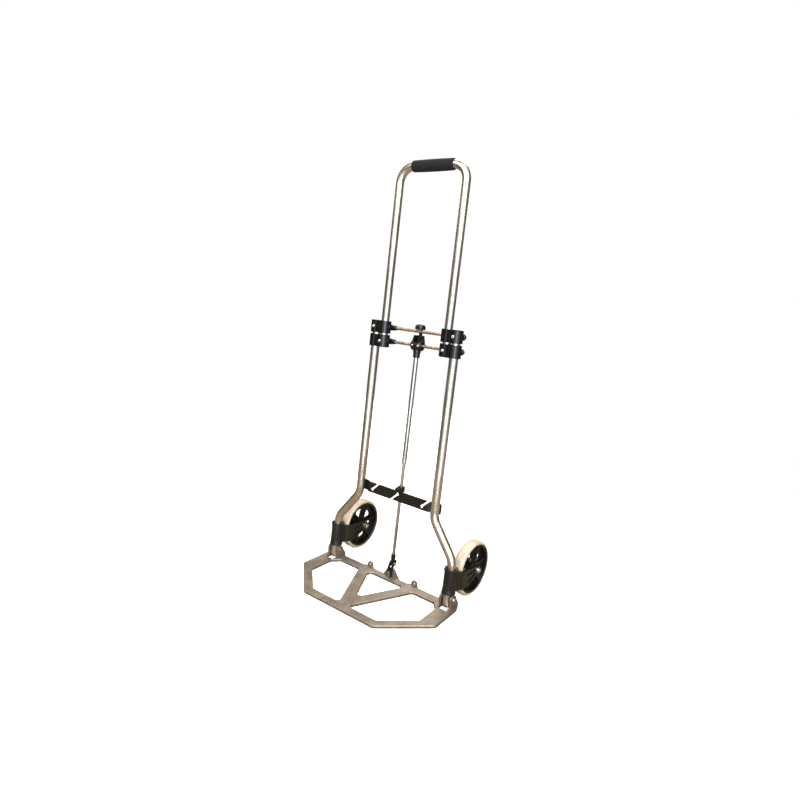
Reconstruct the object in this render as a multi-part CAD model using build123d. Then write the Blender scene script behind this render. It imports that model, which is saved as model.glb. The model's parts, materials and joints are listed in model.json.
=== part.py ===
from build123d import *
import math
import os

# Folding luggage cart, millimetres. +Z is up, +X is the cart's right-hand side as seen by someone
# facing its toe plate, +Y runs back to the wheels. The origin is on the floor under the middle of the cart.
# Frame pieces are drawn upright, with the toe-plate hinge at their zero, and then leaned back.

# ---- stance -------------------------------------------------------------------------------------
lean_deg = 5.5                # the frame leans back from upright
hinge_height = 26.0           # toe-plate hinge above the floor

# ---- tubes and rods -----------------------------------------------------------------------------
frame_tube_d = 22.0
handle_tube_d = 20.0
tube_wall = 1.5
frame_half_width = 121.0      # centre line to each frame tube, upper run
foot_splay = 67.0             # how far each frame tube steps outwards at its foot
tube_gap = 3.5                # between a frame tube and the handle tube beside it
splay_low = 94.0              # lower corner of the step, along the tube
splay_high = 180.0            # upper corner of the step
splay_radius = 50.0
foot_drop = 18.0              # tube end below the hinge
handle_top = 1017.0           # middle of the handle's top bar
handle_radius = 38.0
cross_rod_d = 8.0
rod_clear = 6.5               # back of a frame tube to the middle of the cross rods and push rod
push_rod_d = 8.0
centre_tube_d = 12.0
centre_tube_wall = 1.3
centre_tube_low = 286.0       # open lower end of the centre tube
push_rod_top = 334.0

# ---- slide blocks -------------------------------------------------------------------------------
block_radius = 16.0
block_height = 31.0
upper_block_low = 610.0
block_spacing = 4.0           # between the upper and lower blocks with the handle out
block_roof = 6.0              # solid end over a fixed tube
liner_wall = 1.4
rod_boss_radius = 7.5
rod_boss_taper = 14.0
cap_nut_length = 5.0

# ---- crossbar -----------------------------------------------------------------------------------
crossbar_level = 203.0
crossbar_height = 27.0
crossbar_thick = 4.0
crossbar_behind = 5.0         # middle of the bar behind the tubes' centre plane
crossbar_overhang = 9.0       # past the middle of each tube
keyhole_d = 9.0
keyhole_slot = 5.0
keyhole_off_left = 37.0       # left tube to the left keyhole
keyhole_off_right = 43.0      # right tube to the right keyhole
keyhole_drop = 5.0            # each hole sits this far from the bar's middle, away from its slot's mouth

# ---- toe plate ----------------------------------------------------------------------------------
plate_past_foot = 30.0        # middle of a tube's foot to the plate's side
plate_reach = 190.0           # hinge to front edge
plate_thick = 7.0
plate_front_cut = 106.0       # each end of the straight front edge, in from the plate's side
plate_corner_back = 92.0      # hinge to the widest corner
plate_corner_r = 12.0
plate_edge = 1.2              # chamfer round the top
bar_front = 23.0
bar_side = 41.0
rail_front = 11.0
rail_back = 13.0
opening_cut = 21.0            # cut corner beside each ear
opening_r = 8.0
triangle_r = 11.0
truss_foot_half = 14.0
truss_head_in = 98.0          # head of each V bar, in from the tube's foot
triangle_in = 29.0            # each corner of the triangle, in from the head of its V bar
triangle_apex = 126.0
ear_thick = 5.2
ear_radius = 11.5
ear_back = 22.0
pin_d = 6.0
eyelet_half_spacing = 74.0
eyelet_hole_d = 7.0
eyelet_radius = 8.0
eyelet_height = 12.0
eyelet_thick = 5.0
eyelet_behind = 16.0

# ---- wheels and forks ---------------------------------------------------------------------------
wheel_d = 140.0
tyre_width = 28.0
tyre_depth = 7.0
hub_spokes = 6
hub_turn = 23.0               # first spoke, from upright towards the back
spoke_thick = 4.4
spoke_beside = 7.0            # middle of a spoke to the window beside it
fork_gap = 3.0                # tyre to fork arm, each side
sleeve_to_tyre = 6.0
fork_arm = 6.0
sleeve_radius = 16.0
sleeve_low = 13.0             # above the hinge
sleeve_end_gap = 0.8          # sleeve to the start of the tube's bend
axle_d = 8.0
head_height = 4.5

# ---- grip and latch -----------------------------------------------------------------------------
grip_past = 1.5               # each end of the grip, past the start of the tube's bend
grip_d = 29.0
latch_half_width = 15.0
latch_slot_half = 5.0

# ---- clearances ---------------------------------------------------------------------------------
running = 0.06                # a shaft turning or sliding in its bore, each side
seat = 0.05                   # a fixed piece in its pocket, each side
side_gap = 0.8                # between faces that pass each other
plate_gap = 1.4               # tube to ear, each side

# ---- derived places -----------------------------------------------------------------------------
lean = math.radians(lean_deg)
frame_r = frame_tube_d / 2
handle_r = handle_tube_d / 2
rod_behind = frame_r + rod_clear
wheel_r = wheel_d / 2
fork_reach = wheel_r + sleeve_radius + sleeve_to_tyre     # tube axis to axle
foot_half_width = frame_half_width + foot_splay
plate_half_width = foot_half_width + plate_past_foot
plate_front_half = plate_half_width - plate_front_cut
truss_head_half = foot_half_width - truss_head_in
triangle_half = truss_head_half - triangle_in
crossbar_reach = frame_half_width + crossbar_overhang
handle_half_width = frame_half_width - frame_r - tube_gap - handle_r
axle_level = (wheel_r - hinge_height + fork_reach * math.sin(lean)) / math.cos(lean)
axle_back = fork_reach * math.cos(lean) + axle_level * math.sin(lean)
hinge_y = (plate_reach - axle_back - wheel_r) / 2
grip_length = 2 * (handle_half_width - handle_radius + grip_past)
upper_mid = upper_block_low + block_height / 2
upper_top = upper_block_low + block_height
frame_top = upper_top - block_roof - 0.2
lower_top = upper_block_low - block_spacing
lower_low = lower_top - block_height
lower_mid = lower_low + block_height / 2
handle_low = lower_low + block_roof
push_pivot = rod_behind       # the push rod's pivot sits as far above the hinge as behind it
splay_turn = math.atan2(foot_splay, splay_high - splay_low)
sleeve_high = splay_low - splay_radius * math.tan(splay_turn / 2) - sleeve_end_gap
ear_inner_x = foot_half_width - frame_r - plate_gap - ear_thick
ear_outer_x = foot_half_width + frame_r + plate_gap
on_frame = Pos(0, hinge_y, hinge_height) * Rot(-lean_deg, 0, 0)
on_plate = Pos(0, hinge_y, hinge_height)

os.makedirs("parts", exist_ok=True)


def save(name, shape):
    """Write one piece as a group of separate solids."""
    solids = shape.solids()
    whole = solids[0] if len(solids) == 1 else Compound(children=list(solids))
    whole.label = name
    export_step(whole, f"parts/{name}.step")


def mirrored(shape):
    """The same piece on the cart's left-hand side."""
    return mirror(shape, about=Plane.YZ)


def save_pair(name, shape, place):
    """A right-hand piece and its mirror image, each in its own node."""
    save(name + "_right", place * shape)
    save(name + "_left", place * mirrored(shape))


def both_sides(shape):
    """A right-hand fastener and its mirror image, as one group."""
    return Compound(children=list(shape.solids()) + list(mirrored(shape).solids()))


def rod(radius, start, end):
    """A round bar between two points."""
    start, end = Vector(*start), Vector(*end)
    run = end - start
    return Plane(start, z_dir=run.normalized()) * Cylinder(
        radius, run.length, align=(Align.CENTER, Align.CENTER, Align.MIN)
    )


def along_x(radius, x_low, x_high, y=0.0, z=0.0):
    """A round bar along X."""
    return rod(radius, (x_low, y, z), (x_high, y, z))


def upright(radius, low, high, x=0.0, y=0.0):
    """A round bar along Z."""
    return rod(radius, (x, y, low), (x, y, high))


def block(x_low, x_high, y_low, y_high, z_low, z_high):
    """A box given by its six limits."""
    size = (x_high - x_low, y_high - y_low, z_high - z_low)
    return Pos(x_low, y_low, z_low) * Box(*size, align=(Align.MIN, Align.MIN, Align.MIN))


def slab_x(points, x_low, x_high):
    """A side profile of (y, z) points, thickened along X."""
    face = make_face(Polyline(*[(x_low, y, z) for y, z in points], close=True))
    return extrude(face, amount=x_high - x_low, dir=(1, 0, 0))


def slab_z(points, z_low, z_high):
    """A plan of (x, y) points, thickened along Z."""
    face = make_face(Polyline(*[(x, y, z_low) for x, y in points], close=True))
    return extrude(face, amount=z_high - z_low, dir=(0, 0, 1))


def bent_tube(points, bend, outer_r, wall):
    """A round tube swept along straight runs joined by bends."""
    path = FilletPolyline(*points, radius=bend)
    section = Plane(path @ 0, z_dir=path % 0) * (Circle(outer_r) - Circle(outer_r - wall))
    return sweep(section, path=path)


def pan_screw(radius, head_radius, head, length):
    """A screw pointing along +Z with its head's underside at zero."""
    dome = Pos(0, 0, -head / 2) * Cylinder(head_radius, head)
    dome = fillet(dome.edges().filter_by(GeomType.CIRCLE).sort_by(Axis.Z)[0], head * 0.7)
    dome -= Pos(0, 0, -head) * Box(head_radius * 1.1, head * 0.35, head * 0.6)
    dome -= Pos(0, 0, -head) * Box(head * 0.35, head_radius * 1.1, head * 0.6)
    return dome + upright(radius, 0, length)


# ---- frame tubes: straight uprights whose feet step outwards ------------------------------------
frame_path = [
    (foot_half_width, 0, -foot_drop),
    (foot_half_width, 0, splay_low),
    (frame_half_width, 0, splay_high),
    (frame_half_width, 0, frame_top),
]
screw_shank = 2.0
far = 2 * frame_tube_d        # a cutting bar this long passes right through a tube or a block
frame_tube = bent_tube(frame_path, splay_radius, frame_r, tube_wall)
foot_pin_hole = along_x(pin_d / 2 + seat, foot_half_width - far, foot_half_width + far)
frame_tube -= foot_pin_hole
frame_tube -= rod(screw_shank + seat, (frame_half_width, -far, upper_mid), (frame_half_width, 0, upper_mid))
frame_tube -= rod(screw_shank + seat, (frame_half_width, 0, crossbar_level),
                  (frame_half_width, far, crossbar_level))
save_pair("frame_tube", frame_tube, on_frame)

# Plugs close the tube feet, and the hinge pins run through them.
plug_length = 30.0
plug_sole = 2.0
sole_round = 1.2
foot_plug = upright(frame_r - tube_wall - seat, -foot_drop, plug_length - foot_drop, foot_half_width)
foot_plug += upright(frame_r, -foot_drop - plug_sole, -foot_drop, foot_half_width)
foot_plug = fillet(foot_plug.faces().sort_by(Axis.Z)[0].edges(), sole_round)
foot_plug -= foot_pin_hole
save_pair("foot_plug", foot_plug, on_frame)

pin_end = ear_outer_x + ear_thick
pin_head_low = pin_end + 0.4
pin_head_high = pin_end + 3.0
hinge_pin = along_x(pin_d / 2, ear_inner_x - 1.5, pin_head_high - 2)
hinge_pin += along_x(pin_d / 2 + 2.5, pin_head_low, pin_head_high)
hinge_pin = fillet(hinge_pin.edges().filter_by(GeomType.CIRCLE).sort_by(Axis.X)[-1], 1.2)
save("hinge_pins", on_plate * both_sides(hinge_pin))

# Washers between the fork sleeves and the toe-plate ears.
fork_washer_thick = 1.0
washer_top = sleeve_low - 0.2
fork_washer = upright(sleeve_radius - 1, washer_top - fork_washer_thick, washer_top, foot_half_width)
fork_washer -= upright(frame_r + seat, washer_top - far, washer_top + far, foot_half_width)
save("fork_washers", on_frame * both_sides(fork_washer))

# ---- crossbar: a cranked strap behind the frame tubes, with keyholes for a cord -------------------
pad_behind = frame_r + seat + crossbar_thick / 2
crank_in = frame_half_width - frame_r - 14
crank_out = frame_half_width - frame_r - 2
strap = [
    (-crossbar_reach, pad_behind), (-crank_out, pad_behind), (-crank_in, crossbar_behind),
    (crank_in, crossbar_behind), (crank_out, pad_behind), (crossbar_reach, pad_behind),
]
strap_front = [(x, y - crossbar_thick / 2) for x, y in strap]
strap_back = [(x, y + crossbar_thick / 2) for x, y in reversed(strap)]
bar_low = crossbar_level - crossbar_height / 2
bar_high = crossbar_level + crossbar_height / 2
bar_corner = 4.0
crossbar = slab_z(strap_front + strap_back, bar_low, bar_high)
crossbar = fillet(crossbar.edges().filter_by(Axis.Y), bar_corner)
# Each keyhole is a round hole with a slot that runs out to one edge of the bar at 45 degrees.
keyholes = [(keyhole_off_left - frame_half_width, 1), (0.0, -1), (frame_half_width - keyhole_off_right, 1)]
slot_length = crossbar_height * 1.2
for hole_x, opens in keyholes:
    hole_z = crossbar_level - opens * keyhole_drop
    crossbar -= rod(keyhole_d / 2, (hole_x, -far, hole_z), (hole_x, far, hole_z))
    slot = block(0, slot_length, -far, far, -keyhole_slot / 2, keyhole_slot / 2)
    crossbar -= Pos(hole_x, 0, hole_z) * Rot(0, -45 if opens > 0 else 135, 0) * slot
for side in (-1, 1):
    crossbar -= rod(screw_shank + seat, (side * frame_half_width, 0, crossbar_level),
                    (side * frame_half_width, far, crossbar_level))
save("crossbar", on_frame * crossbar)

pad_back = pad_behind + crossbar_thick / 2
bar_screw = pan_screw(screw_shank, 4.0, 2.6, 8.0)
bar_screw = Pos(frame_half_width, pad_back, crossbar_level) * Rot(90, 0, 0) * bar_screw
save("crossbar_screws", on_frame * both_sides(bar_screw))

# The rod guide clips behind the middle of the crossbar, and the centre tube slides through it.
guide_low = bar_high - 3
guide_high = guide_low + 12
guide_half = 7.0
guide_lip = 2.0
guide_play = 0.35             # the centre tube slides loosely in its guide
bar_front_face = crossbar_behind - crossbar_thick / 2
bar_back_face = crossbar_behind + crossbar_thick / 2
lip_front = bar_front_face - guide_lip
guide = upright(centre_tube_d / 2 + 4, guide_low, guide_high, 0, rod_behind)
guide += block(-guide_half, guide_half, lip_front, rod_behind, bar_high + seat, guide_high - 1)
guide += block(-guide_half, guide_half, bar_back_face + seat, rod_behind - 2, guide_low, guide_high - 2)
guide += block(-guide_half, guide_half, lip_front, bar_front_face - seat, guide_low, guide_high - 1)
guide -= block(-far, far, bar_front_face - seat, bar_back_face + seat, bar_low, bar_high + seat)
guide -= upright(centre_tube_d / 2 + guide_play, guide_low - far, guide_high + far, 0, rod_behind)
save("rod_guide", on_frame * guide)


# ---- slide blocks ---------------------------------------------------------------------------------
screw_head_r = 4.2
liner_inset = 1.5


def slide_block(low, fixed_x, fixed_r, sliding_x, sliding_r, roof_up):
    """A moulded block of two round lobes, one closed over its fixed tube and one bored for the slide."""
    high = low + block_height
    mid = low + block_height / 2
    body = upright(block_radius, low, high, fixed_x) + upright(block_radius, low, high, sliding_x)
    waist = block_radius - 1.5
    inner, outer = sorted((fixed_x, sliding_x))
    body += block(inner, outer, -waist, waist, low, high)
    body = chamfer(body.faces().filter_by(Axis.Z).edges(), 1.0)
    inner_x = inner - block_radius + 4
    outer_x = outer + block_radius - 5.5
    body += along_x(rod_boss_radius, inner_x, outer_x, rod_behind, mid)
    taper = Plane((inner_x - rod_boss_taper, rod_behind, mid), z_dir=(1, 0, 0)) * Cone(
        cross_rod_d / 2 + 1.6, rod_boss_radius, rod_boss_taper, align=(Align.CENTER, Align.CENTER, Align.MIN)
    )
    body += taper
    start, end = (low - 1, high - block_roof) if roof_up else (low + block_roof, high + 1)
    body -= upright(fixed_r + seat, start, end, fixed_x)
    body -= upright(sliding_r + running + liner_wall + seat, low - 1, high + 1, sliding_x)
    body -= along_x(cross_rod_d / 2 + seat, 0, outer_x + far, rod_behind, mid)
    face_y = -block_radius + 1.0
    body -= rod(screw_head_r + 0.4, (fixed_x, -far, mid), (fixed_x, face_y, mid))
    body -= rod(screw_shank + seat, (fixed_x, -far, mid), (fixed_x, 0, mid))
    screw = pan_screw(screw_shank, screw_head_r, 2.8, 7.5)
    screw = Pos(fixed_x, face_y, mid) * Rot(-90, 0, 0) * screw
    liner = upright(sliding_r + running + liner_wall, low + liner_inset, high - liner_inset, sliding_x)
    liner -= upright(sliding_r + running, low - 1, high + 1, sliding_x)
    rod_end = outer_x + cap_nut_length / 2
    nut = along_x(cross_rod_d / 2 + 1.2, outer_x + 0.1, outer_x + cap_nut_length, rod_behind, mid)
    nut = fillet(nut.edges().filter_by(GeomType.CIRCLE).sort_by(Axis.X)[-1], 3.5)
    nut -= along_x(cross_rod_d / 2 + seat, outer_x - 1, rod_end + 0.2, rod_behind, mid)
    cross_rod = along_x(cross_rod_d / 2, -rod_end, rod_end, rod_behind, mid)
    return body, screw, liner, nut, cross_rod


upper = slide_block(upper_block_low, frame_half_width, frame_r, handle_half_width, handle_r, True)
lower = slide_block(lower_low, handle_half_width, handle_r, frame_half_width, frame_r, False)
for level, pieces in (("upper", upper), ("lower", lower)):
    body, screw, liner, nut, cross_rod = pieces
    save_pair(f"{level}_block", body, on_frame)
    save(f"{level}_block_screws", on_frame * both_sides(screw))
    save_pair(f"{level}_liner", liner, on_frame)
    save(f"{level}_cap_nuts", on_frame * both_sides(nut))
    save(f"{level}_cross_rod", on_frame * cross_rod)

# ---- handle ---------------------------------------------------------------------------------------
handle_path = [
    (-handle_half_width, 0, handle_low),
    (-handle_half_width, 0, handle_top),
    (handle_half_width, 0, handle_top),
    (handle_half_width, 0, handle_low),
]
handle = bent_tube(handle_path, handle_radius, handle_r, tube_wall)
for side in (-1, 1):
    handle -= rod(screw_shank + seat, (side * handle_half_width, -far, lower_mid),
                  (side * handle_half_width, 0, lower_mid))
save("handle_tube", on_frame * handle)

grip_round = 3.0
grip = along_x(grip_d / 2, -grip_length / 2, grip_length / 2, 0, handle_top)
grip = fillet(grip.edges().filter_by(GeomType.CIRCLE), grip_round)
grip -= along_x(handle_r + seat, -grip_length, grip_length, 0, handle_top)
save("grip", on_frame * grip)

# ---- latch block on the lower cross rod, and the centre tube hanging from it ---------------------
tube_top = lower_mid - cross_rod_d / 2 - 4
centre_tube = upright(centre_tube_d / 2, centre_tube_low, tube_top, 0, rod_behind)
centre_bore_r = centre_tube_d / 2 - centre_tube_wall
centre_tube -= upright(centre_bore_r, centre_tube_low - 1, tube_top + 1, 0, rod_behind)
save("centre_tube", on_frame * centre_tube)

latch_drum_r = 13.0
latch_pin_r = 1.5
hook_pin_y = rod_behind + 5
hook_pin_z = lower_mid + latch_drum_r + 3
latch_top = hook_pin_z + 9
socket_length = 11.0
socket_r = centre_tube_d / 2 + 3.5
latch = along_x(latch_drum_r, -latch_half_width, latch_half_width, rod_behind, lower_mid)
latch = fillet(latch.edges().filter_by(GeomType.CIRCLE), 3.0)
neck_wide = latch_half_width - 1
neck_narrow = latch_slot_half + 4
neck_points = [
    (-neck_wide, lower_mid), (neck_wide, lower_mid), (neck_narrow, latch_top - 2),
    (neck_narrow - 1, latch_top), (1 - neck_narrow, latch_top), (-neck_narrow, latch_top - 2),
]
neck_face = make_face(Polyline(*[(x, rod_behind - 9, z) for x, z in neck_points], close=True))
latch += extrude(neck_face, amount=22, dir=(0, 1, 0))
latch += upright(socket_r, tube_top - socket_length, lower_mid, 0, rod_behind)
latch -= along_x(cross_rod_d / 2 + seat, -far, far, rod_behind, lower_mid)
latch -= upright(centre_tube_d / 2 + seat, 0, tube_top + 0.1, 0, rod_behind)
latch -= block(-latch_slot_half, latch_slot_half, 0, far, lower_mid + cross_rod_d / 2 + 2.5, latch_top + 5)
latch -= along_x(latch_pin_r + seat, -far, far, hook_pin_y, hook_pin_z)
latch_face = rod_behind - latch_drum_r + 2
latch_screw_x = 9.0
latch_screw_r = 1.5
latch_head_r = 3.2
screw_hole_end = rod_behind - cross_rod_d / 2 - 1
for side in (-1, 1):
    x = side * latch_screw_x
    latch -= rod(latch_head_r + 0.2, (x, -far, lower_mid), (x, latch_face, lower_mid))
    latch -= rod(latch_screw_r + seat, (x, -far, lower_mid), (x, screw_hole_end, lower_mid))
save("latch_body", on_frame * latch)

latch_screw = pan_screw(latch_screw_r, latch_head_r, 2.0, 5.5)
latch_screw = Pos(latch_screw_x, latch_face, lower_mid) * Rot(-90, 0, 0) * latch_screw
save("latch_screws", on_frame * both_sides(latch_screw))

collar_top = tube_top - socket_length - 0.2
collar_height = 11.0
collar = upright(socket_r - 0.9, collar_top - collar_height, collar_top, 0, rod_behind)
collar = chamfer(collar.edges().filter_by(GeomType.CIRCLE), 1.0)
collar -= upright(centre_tube_d / 2 + seat, 0, collar_top + 5, 0, rod_behind)
save("tube_collar", on_frame * collar)

latch_pin = along_x(latch_pin_r, -neck_narrow - 1.5, neck_narrow + 1.5, hook_pin_y, hook_pin_z)
save("latch_pin", on_frame * latch_pin)

# The hook stands behind the upper cross rod, and its lip lies over it.
rod_top = upper_mid + cross_rod_d / 2
rod_front = rod_behind - cross_rod_d / 2
rod_back = rod_behind + cross_rod_d / 2
hook_half = latch_slot_half - 1.9
hook_thick = 6.0
lip_under = rod_top + 0.5
lip_over = lip_under + 4.0
hook_profile = [
    (rod_back + 0.6, hook_pin_z),
    (rod_back + 0.6, lip_under),
    (rod_front - 1.5, lip_under),
    (rod_front - 3.5, lip_under + 2.0),
    (rod_front - 3.5, lip_over),
    (rod_back + hook_thick, lip_over),
    (rod_back + hook_thick + 0.6, hook_pin_z),
]
hook = slab_x(hook_profile, -hook_half, hook_half)
hook += along_x(4.4, -hook_half, hook_half, hook_pin_y, hook_pin_z)
hook -= along_x(latch_pin_r + running, -far, far, hook_pin_y, hook_pin_z)
save("latch_hook", on_frame * hook)

cap_half = 12.0
cap_low = lip_under + 0.3
cap_high = cap_low + 12.5
cap = block(-cap_half, cap_half, rod_front - 4.5, rod_back + 11.5, cap_low, cap_high)
cap = fillet(cap.edges().filter_by(Axis.Z), 9.0)
cap = fillet(cap.faces().sort_by(Axis.Z)[-1].edges(), 8.0)
cap -= block(-hook_half - 0.1, hook_half + 0.1, -far, far, cap_low - 1, lip_over + 0.1)
save("latch_cap", on_frame * cap)

# A small torsion spring round the pin, on one side of the hook.
spring_wire = 0.35
spring_r = latch_pin_r + 0.9
spring_turns = Helix(pitch=0.9, height=0.9, radius=spring_r)
spring_section = Plane(spring_turns @ 0, z_dir=spring_turns % 0) * Circle(spring_wire)
spring = sweep(spring_section, path=spring_turns, is_frenet=True)
spring = Pos(hook_half + 0.5, hook_pin_y, hook_pin_z) * Rot(0, 90, 0) * spring
save("latch_spring", on_frame * spring)

# ---- push rod: from the toe plate's pivot up into the centre tube --------------------------------
pivot_pin_d = 5.0
slot_play = 0.35              # pin to each side of the slot
pivot_radius = push_pivot * math.sqrt(2)
slot_end = pivot_radius - push_pivot + slot_play
slot_half_height = pivot_pin_d / 2 + 0.03 * pivot_radius + slot_play
eye_half = 3.0
eye_wall = 3.2
eye_back = rod_behind + slot_end + pivot_pin_d / 2 + eye_wall
eye_front = rod_behind - pivot_pin_d / 2 - eye_wall - slot_play
eye_low = push_pivot - slot_half_height - eye_wall
eye_high = push_pivot + slot_half_height + eye_wall
eye = block(-eye_half, eye_half, eye_front, eye_back, eye_low, eye_high)
eye = fillet(eye.edges().filter_by(Axis.X), 4.0)
eye -= block(-far, far, rod_behind - slot_play, rod_behind + slot_end,
             push_pivot - slot_half_height, push_pivot + slot_half_height)
for y in (rod_behind - slot_play, rod_behind + slot_end):
    eye -= along_x(slot_half_height, -far, far, y, push_pivot)
socket_wall = 2.0
socket_low = push_pivot + 12.5
socket_high = socket_low + 12
neck_half = push_rod_d / 2 + 1
eye += block(-eye_half, eye_half, rod_behind - neck_half, rod_behind + neck_half,
             eye_high - 1, socket_low + 1)
eye += upright(push_rod_d / 2 + socket_wall, socket_low, socket_high, 0, rod_behind)
eye -= upright(push_rod_d / 2 + seat, socket_low + socket_wall, socket_high + 5, 0, rod_behind)
save("rod_eye", on_frame * eye)

push_rod = upright(push_rod_d / 2, socket_low + socket_wall + 0.1, push_rod_top, 0, rod_behind)
push_rod = chamfer(push_rod.edges().filter_by(GeomType.CIRCLE).sort_by(Axis.Z)[-1], 1.0)
save("push_rod", on_frame * push_rod)


# ---- toe plate: one casting, drawn flat with the hinge above its zero ------------------------------
def both_halves(right_points):
    """The right half of a symmetric outline, followed by its left half."""
    return right_points + [(-x, y) for x, y in reversed(right_points)]


plate_low = -hinge_height
plate_high = plate_low + plate_thick
below = plate_low - 1         # cutting bars start below the casting and end above it
above = plate_high + 1
outline = both_halves([
    (ear_inner_x + ear_thick, rail_back),
    (ear_inner_x + ear_thick, ear_back),
    (ear_outer_x + ear_thick, ear_back),
    (plate_half_width - 3, 0),
    (plate_half_width, -plate_corner_back),
    (plate_front_half, -plate_reach),
])
plate = slab_z(outline, plate_low, plate_high)
corner_edges = [e for e in plate.edges().filter_by(Axis.Z) if e.center().Y < -plate_corner_back / 2]
plate = fillet(corner_edges, plate_corner_r)
side_x = plate_half_width - bar_side
opening = [
    (truss_head_half, -rail_front),
    (side_x - opening_cut, -rail_front),
    (side_x - 2, -rail_front - opening_cut),
    (side_x, -plate_corner_back - 8),
    (plate_front_half - 9, -plate_reach + bar_front),
    (truss_foot_half, -plate_reach + bar_front),
]
opening_solid = fillet(slab_z(opening, below, above).edges().filter_by(Axis.Z), opening_r)
triangle = [(triangle_half, -5), (0, -triangle_apex), (-triangle_half, -5)]
triangle_solid = fillet(slab_z(triangle, below, above).edges().filter_by(Axis.Z), triangle_r)
plate -= opening_solid
plate -= mirrored(opening_solid)
plate -= triangle_solid
top_edges = [e for e in plate.faces().sort_by(Axis.Z)[-1].edges() if e.center().Y < -3]
plate = chamfer(top_edges, plate_edge)
swing_room = math.hypot(foot_drop + plug_sole, frame_r) + 2
foot_slot = block(ear_inner_x + ear_thick, ear_outer_x, -swing_room, far, below, ear_radius + far)
ear_heel = 4.0                # the ear's sloping back ends this far above the plate
ear_side = [
    (-ear_radius, plate_low), (-ear_radius, 0), (ear_radius, 0),
    (ear_back, plate_high + ear_heel), (ear_back, plate_low),
]
for x_low in (ear_inner_x, ear_outer_x):
    ear = slab_x(ear_side, x_low, x_low + ear_thick) + along_x(ear_radius, x_low, x_low + ear_thick)
    plate += ear
    plate += mirrored(ear)
eyelet_level = plate_low + eyelet_height
eyelet_back = eyelet_behind + eyelet_thick
eyelet_in = eyelet_half_spacing - eyelet_radius
eyelet_out = eyelet_half_spacing + eyelet_radius
eyelet_flare = 12.0           # the foot spreads this far to each side where it meets the rail
eyelet = block(eyelet_in, eyelet_out, eyelet_behind, eyelet_back, plate_low, eyelet_level)
eyelet += rod(eyelet_radius, (eyelet_half_spacing, eyelet_behind, eyelet_level),
              (eyelet_half_spacing, eyelet_back, eyelet_level))
eyelet += slab_z([
    (eyelet_in - eyelet_flare, rail_back - 1), (eyelet_out + eyelet_flare, rail_back - 1),
    (eyelet_out, eyelet_back), (eyelet_in, eyelet_back),
], plate_low, plate_high)
eyelet_hole = rod(eyelet_hole_d / 2, (eyelet_half_spacing, 0, eyelet_level),
                  (eyelet_half_spacing, eyelet_back + far, eyelet_level))
plate += eyelet
plate += mirrored(eyelet)
plate -= eyelet_hole
plate -= mirrored(eyelet_hole)

# The middle lug is an upright web behind the rail that carries the rod bracket.
lug_thick = 5.0
lug_half = 28.0
lug_top_half = 9.0
lug_top = 3.0
lug_back = rail_back + lug_thick
lug_points = [
    (-lug_half, plate_low), (lug_half, plate_low), (lug_top_half, lug_top), (-lug_top_half, lug_top),
]
lug_face = make_face(Polyline(*[(x, rail_back - 1, z) for x, z in lug_points], close=True))
lug = extrude(lug_face, amount=lug_thick + 1, dir=(0, 1, 0))
bracket_low = plate_high + side_gap
rivet_levels = (bracket_low + 4.0, bracket_low + 12.5)
rivet_r = 2.0
plate += lug
for z in rivet_levels:
    plate -= rod(rivet_r + seat, (0, 0, z), (0, lug_back + far, z))
plate -= foot_slot
plate -= mirrored(foot_slot)
for side in (-1, 1):
    plate -= along_x(pin_d / 2 + running, side * (ear_inner_x - 5), side * (pin_end + 5))
save("toe_plate", on_plate * plate)

# ---- rod bracket: two cheeks that carry the push rod's pivot pin --------------------------------
pivot_y = push_pivot * math.cos(lean) + push_pivot * math.sin(lean)
pivot_z = push_pivot * math.cos(lean) - push_pivot * math.sin(lean)
cheek_thick = 3.5
cheek_in = eye_half + 0.5
cheek_out = cheek_in + cheek_thick
cheek_end_r = 6.0
bracket_back = rail_back - 1 - seat
bracket_front = bracket_back - 7
base_top = pivot_z - 12.5
bracket = block(-cheek_out, cheek_out, bracket_front, bracket_back, bracket_low, base_top)
bracket = fillet(bracket.edges().filter_by(Axis.Z), 2.0)
cheek_side = [
    (bracket_front + 0.5, base_top - 6), (bracket_back, base_top - 6), (bracket_back, lug_top + 1),
    (pivot_y + cheek_end_r, pivot_z - 3), (pivot_y - cheek_end_r, pivot_z + 1),
    (bracket_front + 0.5, base_top),
]
for x_low in (-cheek_out, cheek_in):
    bracket += slab_x(cheek_side, x_low, x_low + cheek_thick)
    bracket += along_x(cheek_end_r, x_low, x_low + cheek_thick, pivot_y, pivot_z)
bracket -= along_x(pivot_pin_d / 2 + seat, -far, far, pivot_y, pivot_z)
for z in rivet_levels:
    bracket -= rod(rivet_r + seat, (0, -far, z), (0, far, z))
save("rod_bracket", on_plate * bracket)

rivet_head_r = 3.3
rivet_head = 1.6
rivet = rod(rivet_r, (0, bracket_front - 0.5, 0), (0, lug_back + 0.4, 0))
rivet += rod(rivet_head_r, (0, bracket_front - rivet_head, 0), (0, bracket_front - seat, 0))
rivet += rod(rivet_head_r - 0.3, (0, lug_back + seat, 0), (0, lug_back + rivet_head - 0.3, 0))
rivets = [Pos(0, 0, z) * rivet for z in rivet_levels]
save("bracket_rivets", on_plate * Compound(children=rivets))

pivot_pin = along_x(pivot_pin_d / 2, -cheek_out - 1.5, cheek_out + 0.5, pivot_y, pivot_z)
pivot_pin += along_x(pivot_pin_d / 2 + 1.8, cheek_out + seat, cheek_out + 2.4, pivot_y, pivot_z)
save("pivot_pin", on_plate * pivot_pin)

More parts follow.
